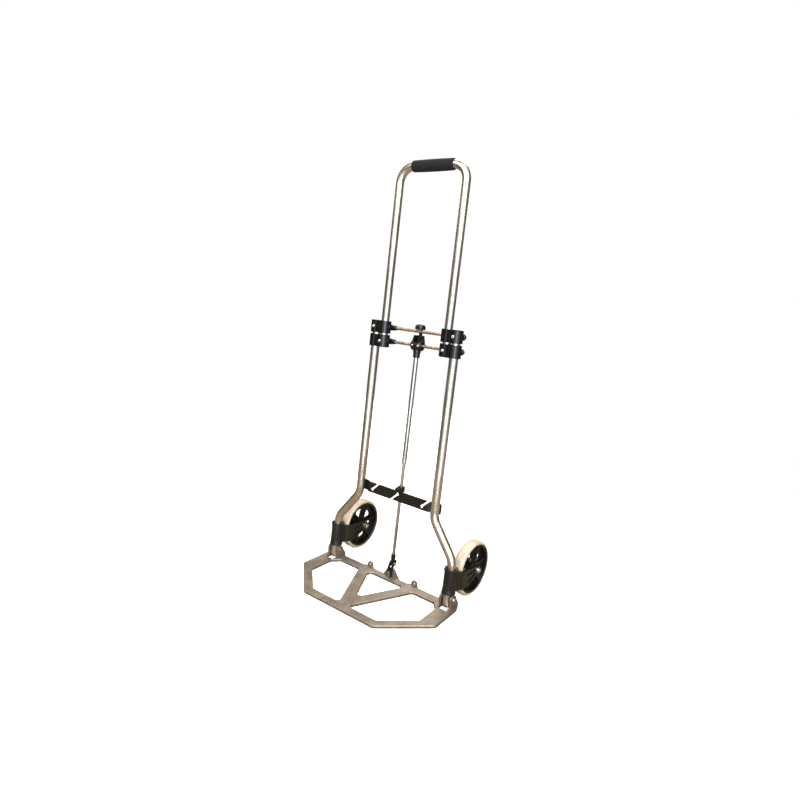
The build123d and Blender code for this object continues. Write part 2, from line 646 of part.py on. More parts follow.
# ---- wheel forks: a sleeve that turns on the frame tube, with two arms to the axle ----------------
arm_in = tyre_width / 2 + fork_gap
arm_out = arm_in + fork_arm
collar_swell = 1.3            # the sleeve's top collar and foot stand this far proud of it
collar_band = 7.0
foot_flare = 10.0
shoulder_low = sleeve_low + 8
shoulder_high = sleeve_low + 55
shoulder_out = sleeve_radius + 8
axle_boss_r = 11.5
fork = upright(sleeve_radius, sleeve_low, sleeve_high)
fork += upright(sleeve_radius + collar_swell, sleeve_high - collar_band, sleeve_high)
fork += upright(sleeve_radius + collar_swell, sleeve_low, sleeve_low + 1.5)
fork += Pos(0, 0, sleeve_low + 1.5) * Cone(
    sleeve_radius + collar_swell, sleeve_radius, foot_flare, align=(Align.CENTER, Align.CENTER, Align.MIN))
shoulder_plan = both_halves([
    (arm_out, shoulder_out + 8), (arm_out, shoulder_out), (arm_in, shoulder_out - 8),
    (sleeve_radius - 0.5, 6), (sleeve_radius - 4, 0),
])
fork += slab_z(shoulder_plan, shoulder_low, shoulder_high)
top_start = (shoulder_out + 12, shoulder_high)
top_end = (fork_reach + 2, axle_level + axle_boss_r - 0.3)
low_start = (shoulder_out + 28, shoulder_low + 2)
low_end = (fork_reach - 2, axle_level - axle_boss_r + 0.3)
arm_side = [
    (shoulder_out, shoulder_low), (shoulder_out, shoulder_high), top_start, top_end, low_end, low_start,
]


def arm_point(along, up):
    """A point on the arm's side, by its share of the way to the axle and up from the lower edge."""
    low = [a + (b - a) * along for a, b in zip(low_start, low_end)]
    high = [a + (b - a) * along for a, b in zip(top_start, top_end)]
    return tuple(a + (b - a) * up for a, b in zip(low, high))


# Two shallow pockets in each arm's outer face leave an edge all round and a rib that slants to the axle.
upper_pocket = [arm_point(0.0, 0.62), arm_point(0.0, 0.88), arm_point(0.72, 0.84), arm_point(0.72, 0.66)]
lower_pocket = [arm_point(0.0, 0.14), arm_point(0.0, 0.48), arm_point(0.72, 0.52), arm_point(0.72, 0.20)]
pocket_depth = 2.2
for side in (-1, 1):
    low, high = sorted((side * arm_in, side * arm_out))
    fork += slab_x(arm_side, low, high) + along_x(axle_boss_r, low, high, fork_reach, axle_level)
for side in (-1, 1):
    low, high = sorted((side * (arm_out - pocket_depth), side * (arm_out + 1)))
    for pocket in (upper_pocket, lower_pocket):
        fork -= slab_x(pocket, low, high)
fork -= along_x(wheel_r + 3, -arm_in, arm_in, fork_reach, axle_level)
fork -= upright(frame_r + running, 0, sleeve_high + far)
fork -= along_x(axle_d / 2 + seat, -far, far, fork_reach, axle_level)
stud_r = 2.6
stud_x = -6.0
stud_y = sleeve_radius + 4.0
stud_seat = shoulder_low + 8
fork -= upright(stud_r + seat, 0, stud_seat, stud_x, stud_y)
at_foot = on_frame * Pos(foot_half_width, 0, 0)
at_left_foot = on_frame * Pos(-foot_half_width, 0, 0)


def save_at_feet(name, shape):
    """A right-hand wheel piece and its mirror image at the other foot."""
    save(name + "_right", at_foot * shape)
    save(name + "_left", at_left_foot * mirrored(shape))


save_at_feet("wheel_fork", fork)

# The cam stud under each fork is what the folding toe plate pushes round.
stud = upright(stud_r, sleeve_low + 1.5, stud_seat - 0.1, stud_x, stud_y)
stud += upright(stud_r + 1, sleeve_low + 1.5, shoulder_low - 1.0, stud_x, stud_y)
save_at_feet("cam_stud", stud)

washer_thick = 1.2
washer = along_x(7.5, arm_out, arm_out + washer_thick, fork_reach, axle_level)
washer -= along_x(axle_d / 2 + seat, -far, far, fork_reach, axle_level)
save_at_feet("axle_washers", Compound(children=[washer, mirrored(washer)]))

head_r = 6.5
head_x = arm_out + washer_thick + seat
nut_height = head_height + 1.0
bolt = along_x(axle_d / 2, -head_x - nut_height - 0.5, head_x + 1, fork_reach, axle_level)
head = along_x(head_r, head_x, head_x + head_height, fork_reach, axle_level)
head = fillet(head.edges().filter_by(GeomType.CIRCLE).sort_by(Axis.X)[-1], 3.0)
bolt += head
head_end = Plane((head_x + head_height, fork_reach, axle_level), z_dir=(-1, 0, 0))
bolt -= head_end * extrude(RegularPolygon(2.6, 6), 2.2)
save_at_feet("axle_bolt", bolt)

nut_plane = Plane((-head_x, fork_reach, axle_level), z_dir=(-1, 0, 0))
nut = nut_plane * extrude(RegularPolygon(head_r, 6, major_radius=False), nut_height)
nut &= along_x(head_r + 0.7, -head_x - far, -head_x, fork_reach, axle_level)
nut -= along_x(axle_d / 2 + seat, -head_x - far, 0, fork_reach, axle_level)
save_at_feet("axle_nut", nut)

# ---- wheels, upright in the world although their forks lean with the frame ------------------------
# Drawn round the X axis at zero.
rim_outer = wheel_r - tyre_depth
rim_inner = rim_outer - 5.5
rim_half = tyre_width / 2 - 1
spoke_half = rim_half - 4
boss_half = arm_in - 1.6
hub_boss = 13.0
bush_r = 7.0
web_half = 2.5
window_low = hub_boss + 8
window_high = rim_inner - 14
window_r = 3.0
hub = along_x(rim_outer, -rim_half, rim_half) - along_x(rim_inner, -rim_half - 1, rim_half + 1)
hub += along_x(rim_outer, -web_half, web_half)
hub += along_x(hub_boss, -boss_half, boss_half)


def window_edge(level):
    """Half the width between two spokes at a radius."""
    return level * math.tan(math.pi / hub_spokes) - spoke_beside


window_side = [
    (-window_edge(window_low), window_low), (window_edge(window_low), window_low),
    (window_edge(window_high - 6), window_high - 6), (window_edge(window_high) / 2, window_high),
    (-window_edge(window_high) / 2, window_high), (-window_edge(window_high - 6), window_high - 6),
]
window = slab_x(window_side, -rim_half, rim_half)
window = fillet(window.edges().filter_by(Axis.X), window_r)
spoke = block(-spoke_half, spoke_half, -spoke_thick / 2, spoke_thick / 2, hub_boss - 3, rim_inner + 1)
for i in range(hub_spokes):
    turn = i * 360 / hub_spokes - hub_turn
    hub += Rot(turn, 0, 0) * spoke
    hub -= Rot(turn + 180 / hub_spokes, 0, 0) * window
hub -= along_x(bush_r + seat, -far, far)
groove_half = 4.0
groove_depth = 2.5
hub -= along_x(rim_outer + 1, -groove_half, groove_half) - along_x(rim_outer - groove_depth, -far, far)
hub = chamfer([e for e in hub.edges().filter_by(GeomType.CIRCLE)
               if abs(e.radius - rim_inner) < 0.01 and abs(abs(e.center().X) - rim_half) < 0.01], 1.0)

# The tyre has a bead that sits in the rim's groove.
tyre_bore = rim_outer + seat
tyre_half = tyre_width / 2
tread_turn = 4.5
tread = Polyline(
    (-tyre_half, tyre_bore), (-tyre_half, wheel_r - tread_turn), (tread_turn - tyre_half, wheel_r),
    (tyre_half - tread_turn, wheel_r), (tyre_half, wheel_r - tread_turn), (tyre_half, tyre_bore), close=True,
)
tyre_face = fillet(make_face(tread).vertices().group_by(Axis.Y)[-1], 7.0)
tyre_face = fillet([v for v in tyre_face.vertices() if abs(v.Y - wheel_r + tread_turn) < 0.01], 4.0)
tyre = revolve(tyre_face, Axis.X, 360)
bead = along_x(tyre_bore + 1, 0.2 - groove_half, groove_half - 0.2)
tyre += bead - along_x(rim_outer - groove_depth + 0.2, -far, far)

bush = along_x(bush_r, 0.5, boss_half + 0.1)
bush += along_x(bush_r + 3, boss_half + 0.1, boss_half + 0.9)
bush -= along_x(axle_d / 2 + running, -1, boss_half + far)
bushes = Compound(children=[bush, mirrored(bush)])

axle_y = fork_reach * math.cos(lean) + axle_level * math.sin(lean)
axle_z = axle_level * math.cos(lean) - fork_reach * math.sin(lean)
at_axle = on_plate * Pos(foot_half_width, axle_y, axle_z)
at_left_axle = on_plate * Pos(-foot_half_width, axle_y, axle_z)
for name, shape in (("wheel_hub", hub), ("tyre", tyre), ("wheel_bushes", bushes)):
    save(name + "_right", at_axle * shape)
    save(name + "_left", at_left_axle * mirrored(shape))

print("toe-plate hinge at y", round(hinge_y, 3), "z", hinge_height)
print("axle at y", round(hinge_y + axle_y, 3), "z", round(hinge_height + axle_z, 3))
print("push rod travel over the fold", round(math.sqrt(2) * pivot_radius, 3))
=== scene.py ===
import json
import math

import bmesh
import bpy
from mathutils import Matrix, Vector, noise


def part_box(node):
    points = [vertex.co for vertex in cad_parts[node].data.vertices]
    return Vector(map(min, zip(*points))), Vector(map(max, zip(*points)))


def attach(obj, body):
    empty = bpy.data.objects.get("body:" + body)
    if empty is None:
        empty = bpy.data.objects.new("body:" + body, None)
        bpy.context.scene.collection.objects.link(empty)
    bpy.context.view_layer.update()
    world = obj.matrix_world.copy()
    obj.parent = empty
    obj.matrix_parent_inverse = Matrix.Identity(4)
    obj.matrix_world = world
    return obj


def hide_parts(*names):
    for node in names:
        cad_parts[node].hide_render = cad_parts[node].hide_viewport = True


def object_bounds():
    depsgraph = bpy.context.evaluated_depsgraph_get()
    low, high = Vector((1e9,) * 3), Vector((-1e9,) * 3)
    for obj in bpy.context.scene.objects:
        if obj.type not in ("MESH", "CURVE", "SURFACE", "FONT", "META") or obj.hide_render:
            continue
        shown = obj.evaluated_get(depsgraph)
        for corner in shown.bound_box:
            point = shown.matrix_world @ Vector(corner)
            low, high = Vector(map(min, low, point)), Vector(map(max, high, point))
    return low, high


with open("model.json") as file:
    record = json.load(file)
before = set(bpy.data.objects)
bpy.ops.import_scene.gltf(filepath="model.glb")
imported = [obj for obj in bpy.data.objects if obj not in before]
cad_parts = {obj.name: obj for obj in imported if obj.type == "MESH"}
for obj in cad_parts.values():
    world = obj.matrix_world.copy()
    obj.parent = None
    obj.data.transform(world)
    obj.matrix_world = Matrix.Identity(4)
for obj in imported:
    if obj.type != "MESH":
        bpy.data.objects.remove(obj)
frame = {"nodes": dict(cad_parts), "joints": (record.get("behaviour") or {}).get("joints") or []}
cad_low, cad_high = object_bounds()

# ---- frame tubes --------------------------------------------------------------------------------
# Two 22 mm aluminium tubes, drawn, bent to an S at the foot and clear anodised. Drawing leaves fine
# lines along the metal, and the thin anodised layer turns a mirror shine into a bright satin.


def linear(colour, strength=1.0):
    """An sRGB hex colour as linear red, green and blue times a strength, and an alpha of one."""
    parts = [int(colour[i:i + 2], 16) / 255 for i in (0, 2, 4)]
    parts = [c / 12.92 if c <= 0.04045 else ((c + 0.055) / 1.055) ** 2.4 for c in parts]
    return [c * strength for c in parts] + [1.0]


def add_node(tree, kind, inputs=None, out=0, **settings):
    """Adds one node. Each input is a number, a colour or an output to link to. Returns an output."""
    node = tree.nodes.new(kind)
    for name, value in settings.items():
        setattr(node, name, value)
    for socket, value in (inputs or {}).items():
        if isinstance(value, bpy.types.NodeSocket):
            tree.links.new(value, node.inputs[socket])
        else:
            node.inputs[socket].default_value = value
    return node.outputs[out]


def new_finish(name, values):
    """A material whose shader starts with these constant values, its node tree and its shader."""
    material = bpy.data.materials.new(name)
    material.use_nodes = True
    shader = material.node_tree.nodes["Principled BSDF"]
    for socket, value in values.items():
        shader.inputs[socket].default_value = value
    return material, material.node_tree, shader


def give(material, *nodes):
    """Puts a finish on CAD nodes."""
    for name in nodes:
        mesh = frame["nodes"][name].data
        mesh.materials.clear()
        mesh.materials.append(material)


def sides(*names):
    """The left and right node of each name."""
    return [f"{name}_{side}" for name in names for side in ("left", "right")]


sliding = next(joint for joint in frame["joints"] if joint["name"] == "handle_slide")
lean = math.atan2(sliding["axis"][1], sliding["axis"][2])
line_length_mm = 45.0
patch_mm = 14.0
patch_length_mm = 60.0
line_depth_mm = 0.0015


def drawn_aluminium(name, dark, light, line_mm, roughness):
    """Anodised aluminium with drawing lines along the leaning tubes and duller handled patches."""
    material, tree, shader = new_finish(name, {"Metallic": 1.0})
    place = add_node(tree, "ShaderNodeTexCoord", out="Object")
    along_lines = add_node(tree, "ShaderNodeMapping", {
        "Vector": place, "Rotation": (-lean, 0, 0),
        "Scale": (line_mm / 1000, line_mm / 1000, line_length_mm / 1000),
    }, vector_type="TEXTURE")
    lines = add_node(tree, "ShaderNodeTexNoise", {
        "Vector": along_lines, "Scale": 1.0, "Detail": 4.0, "Roughness": 0.55,
    })
    along_patches = add_node(tree, "ShaderNodeMapping", {
        "Vector": place, "Rotation": (-lean, 0, 0),
        "Scale": (patch_mm / 1000, patch_mm / 1000, patch_length_mm / 1000),
    }, vector_type="TEXTURE")
    patches = add_node(tree, "ShaderNodeTexNoise", {
        "Vector": along_patches, "Scale": 1.0, "Detail": 3.0, "Roughness": 0.55,
    })
    both = add_node(tree, "ShaderNodeMath", {0: lines, 1: patches}, operation="MULTIPLY")
    shade = add_node(tree, "ShaderNodeMapRange", {"Value": both, "From Min": 0.12, "From Max": 0.4})
    colour = add_node(tree, "ShaderNodeMixRGB", {
        "Fac": shade, "Color1": linear(dark), "Color2": linear(light),
    })
    gloss = add_node(tree, "ShaderNodeMapRange", {
        "Value": patches, "From Min": 0.35, "From Max": 0.65,
        "To Min": roughness - 0.05, "To Max": roughness + 0.08,
    })
    raised = add_node(tree, "ShaderNodeBump", {
        "Height": lines, "Distance": line_depth_mm / 1000, "Strength": 1.0,
    })
    tree.links.new(colour, shader.inputs["Base Color"])
    tree.links.new(gloss, shader.inputs["Roughness"])
    tree.links.new(raised, shader.inputs["Normal"])
    return material


# Real drawing lines are a few hundredths apart. They are drawn at 0.9 mm so that they show.
tube_line_mm = 0.9
anodised_tube = drawn_aluminium("anodised_drawn_aluminium", "cbc5ba", "e0dbd1", tube_line_mm, 0.25)
give(anodised_tube, *sides("frame_tube"))

# ---- foot plugs, hinge pins and fork washers ----------------------------------------------------
# Each tube foot is closed by a black polyethylene plug. A zinc-plated steel pin runs through ears,
# tube and plug, and a natural nylon washer carries the fork's sleeve on the ears.
flow_mm = 9.0
flow_length_mm = 22.0
mould_grain_depth_mm = 0.03


def moulded_black(name, dark, light, roughness, grain_mm, ior=1.53):
    """Moulded black plastic: a fine spark-eroded grain, faint flow marks and a little dust."""
    material, tree, shader = new_finish(name, {"IOR": ior})
    place = add_node(tree, "ShaderNodeTexCoord", out="Object")
    grain = add_node(tree, "ShaderNodeTexNoise", {
        "Vector": place, "Scale": 1000 / grain_mm, "Detail": 2.0, "Roughness": 0.55,
    })
    along_flow = add_node(tree, "ShaderNodeMapping", {
        "Vector": place, "Scale": (flow_mm / 1000, flow_mm / 1000, flow_length_mm / 1000),
    }, vector_type="TEXTURE")
    flow = add_node(tree, "ShaderNodeTexNoise", {
        "Vector": along_flow, "Scale": 1.0, "Detail": 4.0, "Roughness": 0.55,
    })
    dust = add_node(tree, "ShaderNodeMapRange", {
        "Value": flow, "From Min": 0.35, "From Max": 0.65, "To Min": 0.0, "To Max": 0.5,
    })
    colour = add_node(tree, "ShaderNodeMixRGB", {
        "Fac": dust, "Color1": linear(dark), "Color2": linear(light),
    })
    grain_gloss = add_node(tree, "ShaderNodeMapRange", {
        "Value": grain, "From Min": 0.35, "From Max": 0.65,
        "To Min": roughness - 0.04, "To Max": roughness + 0.04,
    })
    flow_gloss = add_node(tree, "ShaderNodeMapRange", {
        "Value": flow, "From Min": 0.35, "From Max": 0.65, "To Min": -0.04, "To Max": 0.05,
    })
    gloss = add_node(tree, "ShaderNodeMath", {0: grain_gloss, 1: flow_gloss}, operation="ADD")
    raised = add_node(tree, "ShaderNodeBump", {
        "Height": grain, "Distance": mould_grain_depth_mm / 1000, "Strength": 1.0,
    })
    tree.links.new(colour, shader.inputs["Base Color"])
    tree.links.new(gloss, shader.inputs["Roughness"])
    tree.links.new(raised, shader.inputs["Normal"])
    return material


# Moulded polyethylene is waxy: a dull black with a soft bloom. Mould grain is about 0.1 mm on every
# black piece. It is drawn at 0.8 to 1.6 mm so that it shows.
plug_plastic = moulded_black("polyethylene_plug", "131312", "2a2926", 0.5, 0.8)
give(plug_plastic, *sides("foot_plug"))


def mottled_finish(name, values, blotch_mm, detail, dark, light, smooth, rough):
    """A finish whose colour and gloss vary together in soft blotches, its tree, shader and blotches."""
    material, tree, shader = new_finish(name, values)
    place = add_node(tree, "ShaderNodeTexCoord", out="Object")
    blotches = add_node(tree, "ShaderNodeTexNoise", {
        "Vector": place, "Scale": 1000 / blotch_mm, "Detail": detail, "Roughness": 0.55,
    })
    shade = add_node(tree, "ShaderNodeMapRange", {"Value": blotches, "From Min": 0.35, "From Max": 0.65})
    colour = add_node(tree, "ShaderNodeMixRGB", {
        "Fac": shade, "Color1": linear(dark), "Color2": linear(light),
    })
    gloss = add_node(tree, "ShaderNodeMapRange", {
        "Value": blotches, "From Min": 0.35, "From Max": 0.65, "To Min": smooth, "To Max": rough,
    })
    tree.links.new(colour, shader.inputs["Base Color"])
    tree.links.new(gloss, shader.inputs["Roughness"])
    return material, tree, shader, blotches


# Bright zinc plate over turned steel is a cool, slightly cloudy mirror.
cloudiness_mm = 2.2
cloud_depth_mm = 0.01
bright_zinc, tree, shader, spangle = mottled_finish(
    "bright_zinc_plate", {"Metallic": 1.0}, cloudiness_mm, 3.0, "c9cbca", "ecebe6", 0.16, 0.3)
raised = add_node(tree, "ShaderNodeBump", {
    "Height": spangle, "Distance": cloud_depth_mm / 1000, "Strength": 1.0,
})
tree.links.new(raised, shader.inputs["Normal"])
give(bright_zinc, "hinge_pins")

# Nylon without colour is a milky off-white that lets a little light in.
milkiness_mm = 6.0
natural_nylon, *_ = mottled_finish("natural_nylon", {
    "IOR": 1.53, "Subsurface Weight": 0.25, "Subsurface Scale": 0.002,
}, milkiness_mm, 3.0, "d9d5c8", "efece2", 0.34, 0.46)
give(natural_nylon, "fork_washers")

# ---- crossbar and rod guide ---------------------------------------------------------------------
# A black glass-filled polypropylene strap screwed behind the tubes, with keyholes that take the
# hooks of an elastic cord. The centre tube runs through a clip on the strap's middle.

# The skin copies a spark-eroded mould, so the strap is a dull, even black.
strap_plastic = moulded_black("grained_polypropylene", "070705", "11100d", 0.42, 0.9)
give(strap_plastic, "crossbar", "rod_guide")
give(bright_zinc, "crossbar_screws")

# ---- slide blocks, liners and cross rods --------------------------------------------------------
# Four moulded nylon blocks of two round lobes, screwed to one tube each. White liners show as rings
# where the other tube slides through, and a rod with cap nuts joins each pair from side to side.

# The skin copies a polished mould, so the lobes carry long highlights.
block_nylon = moulded_black("polished_black_nylon", "060606", "0f100f", 0.24, 1.4)
give(block_nylon, *sides("upper_block", "lower_block"))
give(natural_nylon, *sides("upper_liner", "lower_liner"))
give(bright_zinc, "upper_block_screws", "lower_block_screws")

# The rods are 8 mm aluminium, ground and left bare, so they have gone a warm grey. Grinding marks
# are a few hundredths wide. They are drawn at 0.6 mm so that they show.
tarnish_mm = 12.0
grinding_mm = 0.6
grinding_length_mm = 30.0
grinding_depth_mm = 0.0005
bare_rod, tree, shader, _ = mottled_finish(
    "bare_ground_aluminium", {"Metallic": 1.0}, tarnish_mm, 4.0, "b09c84", "d2c3ad", 0.3, 0.42)
round_the_rod = add_node(tree, "ShaderNodeMapping", {
    "Vector": add_node(tree, "ShaderNodeTexCoord", out="Object"),
    "Scale": (grinding_mm / 1000, grinding_length_mm / 1000, grinding_length_mm / 1000),
}, vector_type="TEXTURE")
grinding = add_node(tree, "ShaderNodeTexNoise", {
    "Vector": round_the_rod, "Scale": 1.0, "Detail": 3.0, "Roughness": 0.55,
})
raised = add_node(tree, "ShaderNodeBump", {
    "Height": grinding, "Distance": grinding_depth_mm / 1000, "Strength": 1.0,
})
tree.links.new(raised, shader.inputs["Normal"])
give(bare_rod, "upper_cross_rod", "lower_cross_rod")
give(block_nylon, "upper_cap_nuts", "lower_cap_nuts")

# ---- handle tube and grip -----------------------------------------------------------------------
# A 20 mm tube bent to a U, with the same finish as the frame's. The grip is a sleeve of closed-cell
# foam rubber pushed on over its top bar, a little fuller in the middle than at its ends.
give(anodised_tube, "handle_tube")

grip_low, grip_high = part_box("grip")
grip_middle = (grip_low + grip_high) / 2
grip_radius = (grip_high.z - grip_low.z) / 2
grip_half = (grip_high.x - grip_low.x) / 2
tube_radius = 0.010
bore_gap = 0.0002
end_drop = 0.0008
crown_rise = 0.0006
end_round = 0.0045
round_steps = 10
length_steps = 110
turn_steps = 96
broad_swell, broad_per_metre = 0.00018, 70
fine_swell, fine_per_metre = 0.00008, 260


def grip_profile():
    """Places along the sleeve and radii, from the bore at one end round to the bore at the other."""
    end_radius = grip_radius - end_drop
    points = [(-grip_half, tube_radius + bore_gap), (-grip_half, end_radius - end_round)]
    for i in range(1, round_steps + 1):
        angle = math.pi / 2 * i / round_steps
        points.append((-grip_half + end_round * (1 - math.cos(angle)),
                       end_radius - end_round * (1 - math.sin(angle))))
    start = -grip_half + end_round
    for i in range(1, length_steps):
        x = start - 2 * start * i / length_steps
        points.append((x, end_radius + crown_rise * (1 - (x / start) ** 2)))
    return points + [(-x, radius) for x, radius in reversed(points[:round_steps + 2])]


grip_mesh = bpy.data.meshes.new("foam_grip")
shape = bmesh.new()
rings = []
for x, radius in grip_profile():
    ring = []
    for j in range(turn_steps):
        angle = 2 * math.pi * j / turn_steps
        spot = Vector((x, radius * math.cos(angle), radius * math.sin(angle)))
        uneven = broad_swell * noise.noise(spot * broad_per_metre)
        uneven += fine_swell * noise.noise(spot * fine_per_metre)
        in_the_bore = radius <= tube_radius + 0.001
        swell = 1.0 if in_the_bore else 1 + uneven / radius
        ring.append(shape.verts.new((spot.x, spot.y * swell, spot.z * swell)))
    rings.append(ring)
for first, second in zip(rings, rings[1:] + rings[:1]):
    for j in range(turn_steps):
        k = (j + 1) % turn_steps
        shape.faces.new((first[j], second[j], second[k], first[k]))
bmesh.ops.recalc_face_normals(shape, faces=shape.faces)
shape.to_mesh(grip_mesh)
shape.free()
for face in grip_mesh.polygons:
    face.use_smooth = True
foam_grip = bpy.data.objects.new("foam_grip", grip_mesh)
foam_grip.location = grip_middle
bpy.context.scene.collection.objects.link(foam_grip)

# Closed-cell foam rubber is matt and pitted, and palms have polished it in patches. Its cells are
# about 0.3 mm across. They are drawn at 1 mm so that they show.
cell_mm = 1.0
cell_depth_mm = 0.22
worn_mm = 12.0
worn_length_mm = 16.0
foam, tree, shader = new_finish("closed_cell_foam_rubber", {
    "IOR": 1.5, "Sheen Weight": 0.04, "Sheen Roughness": 0.6, "Specular IOR Level": 0.3,
})
place = add_node(tree, "ShaderNodeTexCoord", out="Object")
cells = add_node(tree, "ShaderNodeTexVoronoi", {"Vector": place, "Scale": 1000 / cell_mm}, feature="F1")
along_grip = add_node(tree, "ShaderNodeMapping", {
    "Vector": place, "Scale": (worn_length_mm / 1000, worn_mm / 1000, worn_mm / 1000),
}, vector_type="TEXTURE")
worn = add_node(tree, "ShaderNodeTexNoise", {
    "Vector": along_grip, "Scale": 1.0, "Detail": 4.0, "Roughness": 0.55,
})
shade = add_node(tree, "ShaderNodeMapRange", {"Value": worn, "From Min": 0.35, "From Max": 0.65})
colour = add_node(tree, "ShaderNodeMixRGB", {
    "Fac": shade, "Color1": linear("070704"), "Color2": linear("13120c"),
})
gloss = add_node(tree, "ShaderNodeMapRange", {
    "Value": worn, "From Min": 0.35, "From Max": 0.65, "To Min": 0.78, "To Max": 0.94,
})
raised = add_node(tree, "ShaderNodeBump", {
    "Height": cells, "Distance": cell_depth_mm / 1000, "Strength": 1.0,
})
tree.links.new(colour, shader.inputs["Base Color"])
tree.links.new(gloss, shader.inputs["Roughness"])
tree.links.new(raised, shader.inputs["Normal"])
grip_mesh.materials.append(foam)
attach(foam_grip, "handle")
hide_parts("grip")

# ---- latch, its collar and the centre tube ------------------------------------------------------
# A moulded body on the lower cross rod holds the hook, its pin and its spring. The release cap is a
# smooth thumb piece on the hook, and the thin centre tube hangs from the body in a collar.

# Nylon from a satin mould is a little duller than the blocks.
latch_nylon = moulded_black("satin_black_nylon", "060606", "121312", 0.32, 1.0)
give(latch_nylon, "latch_body", "tube_collar", "latch_hook")

# The cap is ABS from a polished mould, kept glossy by thumbs.
thumb_abs = moulded_black("smooth_black_abs", "050505", "0c0c0c", 0.24, 1.6, ior=1.54)
give(thumb_abs, "latch_cap")
give(bright_zinc, "latch_screws", "latch_pin")

# Spring wire is drawn steel, grey and finely mottled.
wire_mottle_mm = 0.4
spring_steel, *_ = mottled_finish(
    "spring_steel_wire", {"Metallic": 1.0}, wire_mottle_mm, 2.0, "8d8b88", "b9b7b2", 0.24, 0.36)
give(spring_steel, "latch_spring")

# The centre tube is drawn and anodised like the frame's, but thinner and duller, with closer lines.
thin_line_mm = 0.4
give(drawn_aluminium("anodised_thin_tube", "a8a39b", "d2cec7", thin_line_mm, 0.28), "centre_tube")

# ---- push rod, its eye and the bracket on the toe plate -----------------------------------------
# The 8 mm push rod comes out of the centre tube and ends in a moulded slotted eye. Two zinc-plated
# rivets hold the bracket to the plate's lug, and the eye turns on a headed pin.

# The rod is rubbed by the tube, so it is a browner, duller satin.
give(drawn_aluminium("satin_push_rod", "97897c", "bdb1a5", thin_line_mm, 0.33), "push_rod")
give(latch_nylon, "rod_eye", "rod_bracket")
give(bright_zinc, "bracket_rivets", "pivot_pin")

# ---- toe plate ----------------------------------------------------------------------------------
# One aluminium pressure casting with its bars, eyelets, lug and ears, tumbled and left bare. It is
# pinned to the tube feet by its ears.

# Tumbling leaves a matt, slightly brown grey with cloudy flow marks and brighter rubbed edges. Its
# sandy grain is about 0.2 mm. It is drawn at 0.9 mm so that it shows.
cloud_mm = 22.0
speckle_mm = 1.6
sand_mm = 0.9
sand_depth_mm = 0.05
rubbed_edge_mm = 1.2
casting, tree, shader = new_finish("tumbled_cast_aluminium", {"Metallic": 0.85})
place = add_node(tree, "ShaderNodeTexCoord", out="Object")
clouds = add_node(tree, "ShaderNodeTexNoise", {
    "Vector": place, "Scale": 1000 / cloud_mm, "Detail": 5.0, "Roughness": 0.55,
})
speckle = add_node(tree, "ShaderNodeTexNoise", {
    "Vector": place, "Scale": 1000 / speckle_mm, "Detail": 3.0, "Roughness": 0.55,
})
sand = add_node(tree, "ShaderNodeTexNoise", {
    "Vector": place, "Scale": 1000 / sand_mm, "Detail": 2.0, "Roughness": 0.55,
})
shade = add_node(tree, "ShaderNodeMapRange", {"Value": clouds, "From Min": 0.35, "From Max": 0.65})
clouded = add_node(tree, "ShaderNodeMixRGB", {
    "Fac": shade, "Color1": linear("877d70"), "Color2": linear("a1978a"),
})
dot_share = add_node(tree, "ShaderNodeMapRange", {
    "Value": speckle, "From Min": 0.5, "From Max": 0.75, "To Min": 0.0, "To Max": 0.35,
})
dotted = add_node(tree, "ShaderNodeMixRGB", {
    "Fac": dot_share, "Color1": clouded, "Color2": linear("6b6155"),
})
rounded = add_node(tree, "ShaderNodeBevel", {"Radius": rubbed_edge_mm / 1000}, samples=6)
facing_out = add_node(tree, "ShaderNodeNewGeometry", out="Normal")
agreement = add_node(tree, "ShaderNodeVectorMath", {
    0: rounded, 1: facing_out,
}, out="Value", operation="DOT_PRODUCT")
rubbed = add_node(tree, "ShaderNodeMapRange", {
    "Value": agreement, "From Min": 0.8, "From Max": 0.98, "To Min": 0.7, "To Max": 0.0,
})
colour = add_node(tree, "ShaderNodeMixRGB", {
    "Fac": rubbed, "Color1": dotted, "Color2": linear("beb6aa"),
})
gloss = add_node(tree, "ShaderNodeMapRange", {
    "Value": clouds, "From Min": 0.35, "From Max": 0.65, "To Min": 0.42, "To Max": 0.54,
})
raised = add_node(tree, "ShaderNodeBump", {
    "Height": sand, "Distance": sand_depth_mm / 1000, "Strength": 1.0,
})
tree.links.new(colour, shader.inputs["Base Color"])
tree.links.new(gloss, shader.inputs["Roughness"])
tree.links.new(raised, shader.inputs["Normal"])
give(casting, "toe_plate")

# ---- wheel forks --------------------------------------------------------------------------------
# Each fork is one glass-filled nylon moulding, a sleeve round the tube's foot with two ribbed arms.
# A steel stud under it meets the toe plate, and a plated bolt and nut are its axle.

# The glass makes the skin duller and a touch greener than the blocks'.
fork_nylon = moulded_black("glass_filled_nylon", "0b0c08", "1a1c15", 0.36, 1.1)
give(fork_nylon, *sides("wheel_fork"))
give(bright_zinc, *sides("cam_stud", "axle_bolt", "axle_nut", "axle_washers"))

# ---- wheels -------------------------------------------------------------------------------------
# Black nylon hubs with six spokes run on white bushes. The tyres are cream thermoplastic rubber,
# stretched over the rims into a groove.

# The hubs come from a plain mould, with a soft shine on their ribs.
hub_nylon = moulded_black("moulded_hub_nylon", "080807", "151512", 0.33, 1.2)
give(hub_nylon, *sides("wheel_hub"))
give(natural_nylon, *sides("wheel_bushes"))

